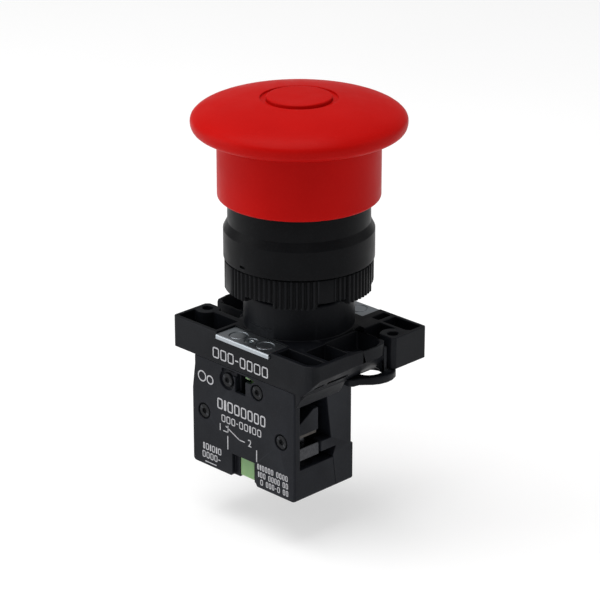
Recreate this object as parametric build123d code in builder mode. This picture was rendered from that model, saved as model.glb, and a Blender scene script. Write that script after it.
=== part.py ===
from build123d import *
import math
import os

# Panel-mounted emergency stop button: push-pull mushroom head, locking ring nut, two-lug
# mounting base and one normally closed contact block under the front half of the base.
# Millimetres. Z runs along the push axis, up towards the head. The origin is the centre of the
# panel hole in the plane of the bezel's underside, which is the panel's front face.
# X is the long way of the base, -Y is the side that carries the contact block's front.

os.makedirs("parts", exist_ok=True)

# ---------------------------------------------------------------- driving dimensions
TRAVEL = 4.0            # push travel of the head and of the contact plunger

CAP_R = 20.0            # mushroom head, standard 40 mm
CAP_RIM_Z = 26.3
CAP_TOP_Z = 30.9
LIP_Z = 24.4
SKIRT_R = 15.2
SKIRT_Z = 11.7
SKIRT_IN_R = 13.75
CEILING_Z = 25.0
DISC_R = 6.05
TRENCH_R = 7.4
TRENCH_Z = 30.3

BEZEL_R = 14.15
BEZEL_UP_R = 13.35
BEZEL_TOP_Z = 20.0
BEZEL_STEP_LO = 5.5
BEZEL_STEP_HI = 7.1
FLOOR_Z = 8.0           # floor inside the bezel cup
FLOOR_T = 3.0

THREAD_R = 11.0         # 22 mm panel neck
THREAD_MINOR_R = 10.6
THREAD_PITCH = 1.5
THREAD_END_Z = -6.2
PLUG_R = 9.0            # lower end of the barrel, which plugs into the base
PLUG_END_Z = -17.4
BARREL_IN_R = 6.6

STEM_R = 4.5

NUT_R = 13.9
NUT_PAD_R = 14.15
NUT_TOP_Z = -0.25
NUT_RING_Z = -4.8
NUT_END_Z = -5.8
NUT_BORE_R = 11.04
NUT_RIBS = 84

TOWER_R = 10.5
TOWER_IN_R = 9.08
TOWER_TOP_Z = -6.5
BASE_TOP = -13.4
BASE_END = -19.7
BASE_HX = 18.85
BASE_HY = 14.95
HOLE_X, HOLE_Y, HOLE_R = 16.8, 7.8, 1.05
BOSS_R = 2.45

BLOCK_TOP = -19.75
BLOCK_END = -41.75
BLOCK_HX = 13.8
BLOCK_HX_TOP = 13.1
BLOCK_FRONT = -14.95
BLOCK_BACK = 0.64
PLUNGER_X = 0.25
CLIP_X = 0.3

# ---------------------------------------------------------------- mushroom head
with BuildPart() as mushroom_head:
    with BuildSketch(Plane.XZ) as cap_profile:
        with BuildLine():
            Line((0, CAP_TOP_Z), (TRENCH_R, CAP_TOP_Z - 0.42))
            Spline(
                (TRENCH_R, CAP_TOP_Z - 0.42),
                (16.0, CAP_RIM_Z + 2.72),
                (CAP_R, CAP_RIM_Z),
                tangents=[(1, -0.115), (0, -1)],
                tangent_scalars=[1.0, 0.9],
            )
            Spline(
                (CAP_R, CAP_RIM_Z),
                (18.2, LIP_Z),
                tangents=[(0, -1), (-1, 0)],
            )
            Line((18.2, LIP_Z), (SKIRT_R + 0.35, LIP_Z + 0.1))
            Line((SKIRT_R + 0.35, LIP_Z + 0.1), (SKIRT_R, LIP_Z - 0.3))
            Line((SKIRT_R, LIP_Z - 0.3), (SKIRT_R, SKIRT_Z + 0.55))
            RadiusArc((SKIRT_R, SKIRT_Z + 0.55), (SKIRT_R - 0.55, SKIRT_Z), 0.55)
            Line((SKIRT_R - 0.55, SKIRT_Z), (SKIRT_IN_R + 0.25, SKIRT_Z))
            Line((SKIRT_IN_R + 0.25, SKIRT_Z), (SKIRT_IN_R, SKIRT_Z + 0.25))
            Line((SKIRT_IN_R, SKIRT_Z + 0.25), (SKIRT_IN_R, CEILING_Z))
            Line((SKIRT_IN_R, CEILING_Z), (0, CEILING_Z))
            Line((0, CEILING_Z), (0, CAP_TOP_Z))
        make_face()
    revolve(axis=Axis.Z)
    # shallow trench around the centre disc, then the seats for the disc and the screw head
    with BuildSketch(Plane.XY.offset(TRENCH_Z)):
        Circle(TRENCH_R)
    extrude(amount=3, mode=Mode.SUBTRACT)
    with BuildSketch(Plane.XY.offset(28.0)):
        Circle(DISC_R + 0.03)
    extrude(amount=4, mode=Mode.SUBTRACT)
    with BuildSketch(Plane.XY.offset(26.4)):
        Circle(4.6)
    extrude(amount=4, mode=Mode.SUBTRACT)
    with BuildSketch(Plane.XY.offset(CEILING_Z - 1)):
        Circle(1.6)
    extrude(amount=4, mode=Mode.SUBTRACT)
    # coring between the dome and the skirt, with four stiffening webs left standing
    with BuildSketch(Plane.XY.offset(CEILING_Z)):
        Circle(12.6)
        Circle(9.0, mode=Mode.SUBTRACT)
        with PolarLocations(10.8, 4):
            Rectangle(5, 1.3, mode=Mode.SUBTRACT)
    extrude(amount=2.4, mode=Mode.SUBTRACT)
mushroom_head.part.label = "mushroom_head"
export_step(mushroom_head.part, "parts/mushroom_head.step")

with BuildPart() as head_disc:
    with BuildSketch(Plane.XZ):
        with BuildLine():
            Polyline((0, 28.0), (DISC_R, 28.0), (DISC_R, 30.66))
            Spline((DISC_R, 30.66), (DISC_R - 0.22, 30.84), tangents=[(0, 1), (-1, 0.05)])
            Line((DISC_R - 0.22, 30.84), (0, CAP_TOP_Z + 0.02))
            Line((0, CAP_TOP_Z + 0.02), (0, 28.0))
        make_face()
    revolve(axis=Axis.Z)
head_disc.part.label = "head_disc"
export_step(head_disc.part, "parts/head_disc.step")

with BuildPart() as head_screw:
    with BuildSketch(Plane.XZ):
        Polygon(
            (0, 19.0), (1.25, 19.4), (1.4, 20.0), (1.4, 26.45), (2.9, 26.45), (2.9, 27.2), (2.2, 27.8), (0, 27.8),
            align=None,
        )
    revolve(axis=Axis.Z)
    with BuildSketch(Plane.XY.offset(27.1)):
        Rectangle(3.6, 0.7)
        Rectangle(0.7, 3.6)
    extrude(amount=2, mode=Mode.SUBTRACT)
head_screw.part.label = "head_screw"
export_step(head_screw.part, "parts/head_screw.step")

# stem: plain shaft with two detent grooves one travel apart, a clip groove and the cross bar
# that reaches out over the contact block
with BuildPart() as actuator_stem:
    with BuildSketch(Plane.XZ):
        Polygon(
            (0, -14.7), (STEM_R, -14.7),
            (STEM_R, -4.1), (4.1, -3.7), (4.1, -3.1), (STEM_R, -2.7),
            (STEM_R, -0.1), (4.1, 0.3), (4.1, 0.9), (STEM_R, 1.3),
            (STEM_R, 4.1), (3.9, 4.1), (3.9, 4.85), (STEM_R, 4.85),
            (STEM_R, 24.7), (4.2, CEILING_Z - 0.02), (0, CEILING_Z - 0.02),
            align=None,
        )
    revolve(axis=Axis.Z)
    with BuildSketch(Plane.XY.offset(-15.7)):
        RectangleRounded(6.6, 19.4, 1.2)
    extrude(amount=1.2)
    with Locations(Location((0, 0, CEILING_Z))):
        Hole(1.45, 7.5)
actuator_stem.part.label = "actuator_stem"
export_step(actuator_stem.part, "parts/actuator_stem.step")

# retaining clip in the stem's groove: the head pulls up against the floor here
with BuildPart() as stem_clip:
    with BuildSketch(Plane.XY.offset(4.2)):
        Circle(6.1)
        Circle(3.95, mode=Mode.SUBTRACT)
        with Locations((-5, 0)):
            Rectangle(6, 3.4, mode=Mode.SUBTRACT)
    extrude(amount=0.6)
stem_clip.part.label = "stem_clip"
export_step(stem_clip.part, "parts/stem_clip.step")

# return spring between the bezel floor and the head
SPRING_R = 8.0
SPRING_WIRE = 0.45
with BuildPart() as head_spring:
    with BuildLine() as spring_path:
        Helix(pitch=2.66, height=15.9, radius=SPRING_R, center=(0, 0, FLOOR_Z + 0.52))
    with BuildSketch(Plane(origin=spring_path.wire() @ 0, z_dir=spring_path.wire() % 0)):
        Circle(SPRING_WIRE)
    sweep(is_frenet=True)
head_spring.part.label = "head_spring"
export_step(head_spring.part, "parts/head_spring.step")

# ---------------------------------------------------------------- bezel with its threaded barrel
thread_pts = [(THREAD_R, 0.0), (THREAD_R, -1.2)]
z = -1.2
while z - THREAD_PITCH >= THREAD_END_Z - 0.3:
    thread_pts += [
        (THREAD_MINOR_R, z - 0.30),
        (THREAD_MINOR_R, z - 0.55),
        (THREAD_R, z - 0.95),
        (THREAD_R, z - 1.25),
    ]
    z -= THREAD_PITCH
thread_pts += [(THREAD_MINOR_R, THREAD_END_Z), (PLUG_R, THREAD_END_Z)]

with BuildPart() as bezel_body:
    with BuildSketch(Plane.XZ):
        Polygon(
            (BARREL_IN_R, FLOOR_Z - FLOOR_T),
            (STEM_R + 0.06, FLOOR_Z - FLOOR_T),
            (STEM_R + 0.06, FLOOR_Z),
            (6.35, FLOOR_Z),
            (6.35, FLOOR_Z - 1.2),
            (6.95, FLOOR_Z - 1.2),
            (6.95, FLOOR_Z),
            (11.7, FLOOR_Z),
            (11.7, BEZEL_TOP_Z - 0.3),
            (12.0, BEZEL_TOP_Z),
            (BEZEL_UP_R - 0.4, BEZEL_TOP_Z),
            (BEZEL_UP_R, BEZEL_TOP_Z - 0.4),
            (BEZEL_UP_R, BEZEL_STEP_HI),
            (BEZEL_R - 0.12, BEZEL_STEP_LO + 0.16),
            (BEZEL_R, BEZEL_STEP_LO - 0.05),
            (BEZEL_R, 0.12),
            (BEZEL_R - 0.12, 0.0),
            (13.2, 0.0),
            (13.2, 0.85),
            (11.5, 0.85),
            (11.5, 0.0),
            *thread_pts,
            (PLUG_R, PLUG_END_Z + 0.4),
            (PLUG_R - 0.4, PLUG_END_Z),
            (BARREL_IN_R, PLUG_END_Z),
            align=None,
        )
    revolve(axis=Axis.Z)
    # key slot along the barrel for the washer's tooth
    with BuildSketch(Plane.XY.offset(-0.02)):
        with Locations((0, THREAD_R)):
            Rectangle(2.4, 1.5)
    extrude(amount=-6.2, mode=Mode.SUBTRACT)
    # notches at the end of the plug, which let the stem's cross bar reach out
    with BuildSketch(Plane.XY.offset(-14.3)):
        Rectangle(7.4, 24)
    extrude(amount=-5, mode=Mode.SUBTRACT)
    # latch groove, a flat cut into the plug on the latch's side
    with BuildSketch(Plane.XZ.offset(-4.2)):
        with Locations((8.1, -15.9)):
            Rectangle(3.8, 1.9)
    extrude(amount=-1.8, mode=Mode.SUBTRACT)
    # small index notch in the bezel's lower edge
    with BuildSketch(Plane.XZ.offset(BEZEL_R - 0.35)):
        with Locations((-0.6, 0.95)):
            RectangleRounded(1.3, 0.5, 0.12)
    extrude(amount=1, mode=Mode.SUBTRACT)
bezel_body.part.label = "bezel_body"
export_step(bezel_body.part, "parts/bezel_body.step")

with BuildPart() as lip_seal:
    with BuildSketch(Plane.XZ):
        Polygon(
            (STEM_R + 0.04, FLOOR_Z + 0.9), (STEM_R + 0.5, FLOOR_Z + 0.02), (6.4, FLOOR_Z + 0.02),
            (6.4, FLOOR_Z - 1.15), (6.9, FLOOR_Z - 1.15), (6.9, FLOOR_Z + 0.8), (STEM_R + 0.25, FLOOR_Z + 1.2),
            align=None,
        )
    revolve(axis=Axis.Z)
lip_seal.part.label = "lip_seal"
export_step(lip_seal.part, "parts/lip_seal.step")

# hairpin of spring wire around the stem: it snaps from one groove to the other
with BuildPart() as detent_spring:
    with BuildSketch(Plane.XY.offset(-3.75)):
        Circle(5.35)
        Circle(4.55, mode=Mode.SUBTRACT)
        with Locations((0, -5)):
            Rectangle(5.2, 4, mode=Mode.SUBTRACT)
    extrude(amount=0.7)
    with BuildSketch(Plane.XY.offset(-3.75)):
        with Locations((0, 5.75)):
            Rectangle(2.0, 1.3)
    extrude(amount=0.7)
detent_spring.part.label = "detent_spring"
export_step(detent_spring.part, "parts/detent_spring.step")

with BuildPart() as panel_gasket:
    with BuildSketch(Plane.XZ):
        Polygon((11.53, 0.0), (13.17, 0.0), (13.17, 0.8), (11.53, 0.8), align=None)
    revolve(axis=Axis.Z)
panel_gasket.part.label = "panel_gasket"
export_step(panel_gasket.part, "parts/panel_gasket.step")

# keyed washer: slides on the barrel and can't turn, so the nut doesn't drag the panel
with BuildPart() as keyed_washer:
    with BuildSketch(Plane.XY.offset(-0.5)):
        Circle(12.6)
        Circle(THREAD_R + 0.05, mode=Mode.SUBTRACT)
        with Locations((0, THREAD_R)):
            Rectangle(1.9, 1.0)
    extrude(amount=0.46)
keyed_washer.part.label = "keyed_washer"
export_step(keyed_washer.part, "parts/keyed_washer.step")

# ---------------------------------------------------------------- ring nut
# Six finely ribbed pads, which stand a little proud and reach lower for the spanner, ribbing
# between them, and four plain panels.
PITCH = 360 / NUT_RIBS
PAD_HALF = 4.0 * PITCH
PAD_CENTRES = [-48.1 + 60 * k for k in range(6)]
PANEL_CENTRES = [-24.4 + 90 * k for k in range(4)]
PANEL_HALF = 1.5 * PITCH


def offset_from(a, centres):
    return min(((a - c + 180) % 360 - 180 for c in centres), key=abs)


def nut_outline(step):
    points = []
    for i in range(NUT_RIBS * step):
        a = i * PITCH / step
        on_pad = abs(offset_from(a, PAD_CENTRES)) < PAD_HALF
        plain = abs(offset_from(a, PANEL_CENTRES)) < PANEL_HALF
        crest = NUT_PAD_R if on_pad else NUT_R
        depth = 0.0 if plain else (0.0, 0.0, 0.34, 0.34)[i % step]
        r = crest - depth
        points.append((r * math.cos(math.radians(a)), r * math.sin(math.radians(a))))
    return points


with BuildPart() as ring_nut:
    with BuildSketch(Plane.XY.offset(NUT_RING_Z)):
        Polygon(*nut_outline(4), align=None)
        Circle(NUT_BORE_R, mode=Mode.SUBTRACT)
    extrude(amount=NUT_TOP_Z - NUT_RING_Z)
    # castellations under the six pads
    with BuildSketch(Plane.XY.offset(NUT_END_Z)) as lugs:
        Polygon(*nut_outline(4), align=None)
        Circle(11.9, mode=Mode.SUBTRACT)
        for c in PAD_CENTRES:
            with BuildLine():
                a0, a1 = math.radians(c + PAD_HALF), math.radians(c + 60 - PAD_HALF)
                Polyline(
                    (0, 0), (22 * math.cos(a0), 22 * math.sin(a0)),
                    (30 * math.cos((a0 + a1) / 2), 30 * math.sin((a0 + a1) / 2)),
                    (22 * math.cos(a1), 22 * math.sin(a1)), (0, 0),
                )
            make_face(mode=Mode.SUBTRACT)
    extrude(amount=NUT_RING_Z - NUT_END_Z + 0.01)
    # counterbore for the washer, and internal thread relief
    with BuildSketch(Plane.XY.offset(-0.52)):
        Circle(12.68)
    extrude(amount=1, mode=Mode.SUBTRACT)
ring_nut.part.label = "ring_nut"
export_step(ring_nut.part, "parts/ring_nut.step")

# ---------------------------------------------------------------- mounting base
# The plan is the same after half a turn about Z. Each half has a broad block at one end
# (front right) and a lug with the fixing hole at the other (back right).
def half_turn(points):
    return [(-x, -y) for x, y in points]


def end_plane(s, depth):
    # upright plane at depth in front of the axis (s = 1), or its half-turn image (s = -1)
    return Plane(origin=(0, -s * depth, 0), x_dir=(s, 0, 0), z_dir=(0, -s, 0))


BLOCK_OUT = [
    (0, -BASE_HY), (16.3, -BASE_HY), (17.75, -14.3), (18.35, -12.9), (18.45, -6.0),
    (18.85, -2.2), (19.0, 1.6), (18.75, 3.3), (17.9, 4.3), (10.0, 4.3),
]
LUG_OUT = [
    (10.0, 5.9), (18.2, 5.9), (BASE_HX, 6.6), (BASE_HX, 14.5), (18.4, BASE_HY), (0, BASE_HY),
]
POCKET_DEPTH = 4.9

with BuildPart() as mounting_base:
    with BuildSketch(Plane.XY.offset(BASE_END)) as plan:
        Polygon(*(BLOCK_OUT + LUG_OUT + half_turn(BLOCK_OUT) + half_turn(LUG_OUT)), align=None)
    extrude(amount=BASE_TOP - BASE_END)
    # the broad block flares in below: its outer side runs down to the contact block's side
    for s in (1, -1):
        with BuildSketch(end_plane(s, BASE_HY + 1)):
            Polygon(
                (18.6, BASE_TOP - 2.6), (21, BASE_TOP - 2.6), (21, BASE_END - 1), (15.4, BASE_END - 1),
                (15.9, BASE_END + 0.3), (17.3, BASE_TOP - 4.6),
                align=None,
            )
        extrude(amount=-(BASE_HY + 1 + 4.3), mode=Mode.SUBTRACT)
    # gusset under the block's front end, beside the contact block
    for s in (1, -1):
        with BuildSketch(end_plane(s, BASE_HY)):
            Polygon(
                (BLOCK_HX + 0.12, BASE_END + 0.5), (15.85, BASE_END + 0.5), (15.85, BASE_END),
                (15.1, BASE_END - 1.1), (14.2, BASE_END - 2.6), (BLOCK_HX + 0.12, BASE_END - 3.0),
                align=None,
            )
        extrude(amount=-11.6)
    # corner at the front of each broad block, rounded from top to bottom
    for s in (1, -1):
        with BuildSketch(Plane.XY.offset(BASE_END - 4)):
            with BuildLine():
                Polyline(
                    (s * 15.3, -s * (BASE_HY + 0.5)), (s * 15.3, -s * BASE_HY), (s * 15.75, -s * 14.4),
                    (s * 16.0, -s * 13.2), (s * 20, -s * 13.0), (s * 20, -s * (BASE_HY + 0.5)),
                    (s * 15.3, -s * (BASE_HY + 0.5)),
                )
            make_face()
        extrude(amount=4, mode=Mode.SUBTRACT)
    # tower that takes the head's barrel
    with BuildSketch(Plane.XY.offset(BASE_END)):
        Circle(TOWER_R)
    extrude(amount=TOWER_TOP_Z - BASE_END)
    chamfer(mounting_base.part.faces().sort_by(Axis.Z)[-1].edges(), 0.35)
    with BuildSketch(Plane.XY.offset(BASE_END - 1)):
        Circle(TOWER_IN_R)
    extrude(amount=TOWER_TOP_Z - BASE_END + 2, mode=Mode.SUBTRACT)
    # cavity in which the cross bar and the contact plunger's head travel
    with BuildSketch(Plane.XY.offset(BASE_END - 1)):
        Rectangle(8.2, 19.8)
    extrude(amount=6.2, mode=Mode.SUBTRACT)
    with BuildSketch(Plane.XY.offset(BASE_END - 1)):
        with Locations((PLUNGER_X, -9.15), (-PLUNGER_X, 9.15)):
            Rectangle(3.9, 4.7)
    extrude(amount=5.1, mode=Mode.SUBTRACT)
    # open-topped pockets of the moulding
    for s in (1, -1):
        with BuildSketch(Plane.XY.offset(BASE_TOP - POCKET_DEPTH)) as pockets:
            # broad block: front trough, square pocket, round-ended scoop
            Polygon(
                (s * 8.3, -s * 14.0), (s * 16.3, -s * 14.0), (s * 17.3, -s * 13.0), (s * 17.45, -s * 10.95),
                (s * 8.3, -s * 10.95), align=None,
            )
            Polygon(
                (s * 11.5, -s * 9.95), (s * 17.5, -s * 9.95), (s * 17.5, -s * 4.75), (s * 11.5, -s * 4.75),
                align=None,
            )
            if s == 1:
                # right lug: pocket beside the boss, open to the gap in front of it, and the deep
                # pocket along the outer wall
                Polygon((11.4, 5.8), (15.6, 5.8), (16.9, 7.8), (17.2, 9.9), (11.4, 9.9), align=None)
                Polygon(
                    (11.4, 10.8), (17.2, 10.8), (18.0, 11.45), (18.0, 14.1), (11.4, 14.1), align=None,
                )
                # trough between the wall beside the lug and the clip's seat
                Polygon((8.5, 10.75), (10.4, 10.75), (10.4, 14.05), (8.5, 14.05), align=None)
            else:
                # left lug: one long pocket in front of the boss and its rib, and a narrow one
                # behind the rib, open to the gap
                Polygon(
                    (-18.05, -14.1), (-7.75, -14.1), (-7.75, -8.35), (-17.3, -8.35), (-18.05, -9.2), align=None,
                )
                Polygon((-16.8, -7.25), (-9.0, -7.25), (-9.0, -5.8), (-15.6, -5.8), align=None)
            with Locations((s * HOLE_X, s * HOLE_Y)):
                Circle(BOSS_R, mode=Mode.SUBTRACT)
        extrude(amount=10, mode=Mode.SUBTRACT)
    for s in (1, -1):
        with BuildSketch(Plane.XY.offset(BASE_TOP - 3.4)):
            Polygon(
                (s * 11.9, -s * 3.75), (s * 15.2, -s * 3.75), (s * 17.1, -s * 3.0), (s * 17.95, -s * 1.2),
                (s * 18.0, s * 0.9), (s * 17.3, s * 2.5), (s * 15.8, s * 3.35), (s * 11.9, s * 3.35),
                align=None,
            )
        extrude(amount=5, mode=Mode.SUBTRACT, taper=-14)
    # fixing holes
    with Locations((HOLE_X, HOLE_Y, BASE_TOP), (-HOLE_X, -HOLE_Y, BASE_TOP)):
        Hole(HOLE_R, 10)
    # seats for the clamp plates, and their screw holes
    for s in (1, -1):
        with BuildSketch(Plane.XY.offset(BASE_TOP - 1.2)):
            with Locations((s * CLIP_X, -s * 13.0)):
                Rectangle(14.3, 5.9)
        extrude(amount=3, mode=Mode.SUBTRACT)
        with Locations((s * CLIP_X, -s * 12.9, BASE_TOP)):
            Hole(1.28, 10)
    # slot for the release latch, through the tower's wall as well
    for s in (1, -1):
        with BuildSketch(Plane.XY.offset(BASE_TOP - 1.0)):
            with Locations((s * 9.2, s * 5.1)):
                Rectangle(6.0, 1.6)
        extrude(amount=-8, mode=Mode.SUBTRACT)
mounting_base.part.label = "mounting_base"
export_step(mounting_base.part, "parts/mounting_base.step")

# ---------------------------------------------------------------- release latch
# A blade in the slot beside the block engages the barrel's groove. Its pull loop lies under the
# base, and pulling it outwards frees the head from the base.
LOOP_OUT = [
    (14.1, -3.0), (15.9, -2.9), (16.5, -2.2), (16.75, -1.0), (17.5, -0.1), (18.45, 0.9), (19.15, 2.2),
    (19.5, 3.7), (19.4, 5.2), (18.85, 6.6), (17.8, 7.7), (16.3, 8.35), (14.7, 8.3), (13.2, 7.6),
    (12.2, 6.4), (11.7, 4.9), (11.7, 0.95), (14.1, 0.95),
]
with BuildPart() as release_latch:
    with BuildSketch(Plane.XY.offset(-21.35)):
        Polygon(*LOOP_OUT, align=None)
        with Locations((14.95, 3.5)):
            Ellipse(2.6, 2.85, mode=Mode.SUBTRACT)
    extrude(amount=1.5)
    with BuildSketch(Plane.XY.offset(-16.7)):
        Polygon((6.8, 4.6), (17.6, 4.6), (17.6, 5.6), (6.8, 5.6), (6.5, 5.3), (6.5, 4.9), align=None)
    extrude(amount=1.6)
    with BuildSketch(Plane.XY.offset(-20.4)):
        Polygon((12.1, 4.6), (12.9, 4.6), (12.9, 5.6), (12.1, 5.6), align=None)
        Polygon((16.4, 4.6), (17.6, 4.6), (17.6, 5.6), (16.4, 5.6), align=None)
    extrude(amount=3.9)
    with BuildSketch(Plane.XY.offset(-19.86)):
        Polygon((12.1, 4.6), (17.6, 4.6), (17.6, 5.6), (12.1, 5.6), align=None)
    extrude(amount=3.3)
release_latch.part.label = "release_latch"
export_step(release_latch.part, "parts/release_latch.step")

# ---------------------------------------------------------------- clamp plates and their screws
for name, s in (("clamp_plate_front", 1), ("clamp_plate_rear", -1)):
    with BuildPart() as clamp_plate:
        with BuildSketch(Plane.XY.offset(BASE_TOP - 1.15)):
            with Locations((s * CLIP_X, -s * 12.7)):
                Rectangle(14.0, 5.2)
        extrude(amount=0.85)
        with BuildSketch(Plane.XY.offset(BASE_TOP - 1.2)):
            with Locations((s * CLIP_X, -s * 15.15)):
                Rectangle(14.0, 0.35)
        extrude(amount=0.9)
        fillet(
            clamp_plate.part.edges().filter_by(Axis.X).group_by(Axis.Z)[-1].sort_by(Axis.Y)[0 if s == 1 else -1],
            0.3,
        )
        with Locations((s * CLIP_X, -s * 12.9, BASE_TOP)):
            Hole(1.3, 3)
        # two coined rings
        with BuildSketch(Plane.XY.offset(BASE_TOP - 0.3)):
            with Locations((s * (CLIP_X - 3.5), -s * 12.7), (s * (CLIP_X + 3.5), -s * 12.7)):
                Circle(1.85)
                Circle(1.6, mode=Mode.SUBTRACT)
        extrude(amount=-0.18, mode=Mode.SUBTRACT)
    clamp_plate.part.label = name
    export_step(clamp_plate.part, "parts/" + name + ".step")

with BuildPart() as clamp_screws:
    for s in (1, -1):
        with Locations(Location((s * CLIP_X, -s * 12.9, BASE_TOP - 3.0))):
            Cylinder(1.22, 5.2)
        with Locations(Location((s * CLIP_X, -s * 12.9, BASE_TOP - 0.5))):
            Cylinder(0.45, 1.2, mode=Mode.SUBTRACT)
clamp_screws.part.label = "clamp_screws"
export_step(clamp_screws.part, "parts/clamp_screws.step")

# ---------------------------------------------------------------- contact block
# The block is split by a slightly leaning plane into the case, which carries the works, and the
# rear cover.
LEAN = 7.7
parting = Plane(origin=(0, -5.5, -31.0), z_dir=(0, math.cos(math.radians(LEAN)), math.sin(math.radians(LEAN))))
block_outline = [
    (-BLOCK_HX_TOP, BLOCK_TOP), (-BLOCK_HX_TOP, -21.6), (-BLOCK_HX, -26.6), (-BLOCK_HX, BLOCK_END + 0.35),
    (-BLOCK_HX + 0.35, BLOCK_END), (BLOCK_HX - 0.35, BLOCK_END), (BLOCK_HX, BLOCK_END + 0.35),
    (BLOCK_HX, BLOCK_TOP),
]
# terminal compartment, open at the side and closed behind by the rear cover
RECESS = [(7.2, -24.3), (8.6, -21.2), (15.5, -20.9), (15.5, -35.5), (7.2, -35.5)]
# terminal screws stand upright with their heads down, and a driver reaches them through holes
# in the block's lower end
TERM_X, TERM_Y = 10.4, -10.8
CLAMP_TOP = -31.3                            # upper face of the clamp plate, where a wire lies
CLAMP_T = 0.8
PAD_Z = -29.7                                # lower face of the fixed contact's pad
DRIVER_R = 2.5


with BuildPart() as block_case:
    with BuildSketch(Plane.XZ.offset(-BLOCK_BACK)):
        Polygon(*block_outline, align=None)
    extrude(amount=BLOCK_BACK - BLOCK_FRONT)
    fillet(
        block_case.part.edges().filter_by(lambda e: e.center().Y < BLOCK_FRONT + 0.01 and abs(e.center().X) > 13), 0.4,
    )
    # keep the part in front of the parting plane
    split(bisect_by=parting, keep=Keep.BOTTOM)
    # terminal compartments
    for side in (1, -1):
        with BuildSketch(Plane.XZ.offset(13.55)):
            Polygon(*[(side * x, z) for x, z in RECESS], align=None)
        extrude(amount=-9.75, mode=Mode.SUBTRACT)
    # works cavity behind the front wall, open to the rear cover
    with BuildSketch(Plane.XZ.offset(11.6)):
        with Locations((0, -30.0)):
            Rectangle(12.2, 11.6)
    extrude(amount=-8, mode=Mode.SUBTRACT)
    # shaft of the plunger: head, indicator leg and spring
    with BuildSketch(Plane.XZ.offset(11.5)):
        with Locations((PLUNGER_X, -30.9)):
            Rectangle(3.8, 19.4)
    extrude(amount=-7, mode=Mode.SUBTRACT)
    with BuildSketch(Plane.XY.offset(BLOCK_TOP - 1.5)):
        with Locations((PLUNGER_X, -9.15)):
            Rectangle(3.8, 4.5)
    extrude(amount=3, mode=Mode.SUBTRACT)
    with BuildSketch(Plane.XZ.offset(14.2)):
        with Locations((PLUNGER_X, -37.4)):
            Rectangle(3.8, 9.4)
        with Locations((PLUNGER_X, -22.65)):
            Rectangle(3.8, 5.1)
    extrude(amount=-3, mode=Mode.SUBTRACT)
    # notch at the lower front edge, and the opening under the indicator
    with BuildSketch(Plane.XZ.offset(16)):
        Polygon(
            (-2.9, -37.1), (3.4, -37.1), (3.4, -41.2), (4.3, -42.5), (-3.8, -42.5), (-2.9, -41.2),
            align=None,
        )
    extrude(amount=-1.95, mode=Mode.SUBTRACT)
    # window with its two wings and the shallow ring seats of the pins
    with BuildSketch(Plane.XZ.offset(16)):
        with Locations((-0.55, -22.15)):
            Rectangle(2.7, 4.0)
        Polygon((0.8, -20.15), (3.2, -20.45), (2.2, -21.3), (0.8, -21.3), align=None)
    extrude(amount=-2.4, mode=Mode.SUBTRACT)
    with BuildSketch(Plane.XZ.offset(16)):
        Polygon((-5.5, -20.2), (-1.8, -20.2), (-1.8, -21.2), (-5.5, -21.0), align=None)
        with Locations((-4.15, -22.4)):
            Circle(1.95)
        with Locations((3.85, -22.5), (-10.5, -30.65), (10.2, -30.5)):
            Circle(1.62)
    extrude(amount=-1.6, mode=Mode.SUBTRACT)
    with BuildSketch(Plane.XZ.offset(16)):
        with Locations((-4.15, -22.4), (3.85, -22.5)):
            Circle(1.34)
    extrude(amount=-5.2, mode=Mode.SUBTRACT)
    with BuildSketch(Plane.XZ.offset(16)):
        with Locations((-10.5, -30.65), (10.2, -30.5)):
            Circle(1.34)
    extrude(amount=-2.05, mode=Mode.SUBTRACT)
    # passages for the fixed contacts
    for side in (1, -1):
        with BuildSketch(Plane.XZ.offset(10.75)):
            with Locations((side * 6.6, -26.5)):
                Rectangle(2.4, 1.15)
        extrude(amount=-8, mode=Mode.SUBTRACT)
    # shelf over each terminal, with a sloping top, that the screw's end stands in
    for side in (1, -1):
        with BuildSketch(Plane.YZ.offset(side * 8.6)):
            Polygon(
                (-13.75, -26.9), (-9.6, -24.3), (-8.35, -24.3), (-8.35, PAD_Z + 0.83), (-13.75, PAD_Z + 0.83),
                align=None,
            )
        extrude(amount=side * 4.75)
        with BuildSketch(Plane.XY.offset(PAD_Z + 0.5)):
            with Locations((side * TERM_X, TERM_Y)):
                Circle(1.6)
        extrude(amount=1.9, mode=Mode.SUBTRACT)
    # holes for the driver
    for side in (1, -1):
        with BuildSketch(Plane.XY.offset(BLOCK_END - 1)):
            with Locations((side * TERM_X, TERM_Y)):
                Circle(DRIVER_R)
        extrude(amount=8, mode=Mode.SUBTRACT)
block_case.part.label = "block_case"
export_step(block_case.part, "parts/block_case.step")

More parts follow.
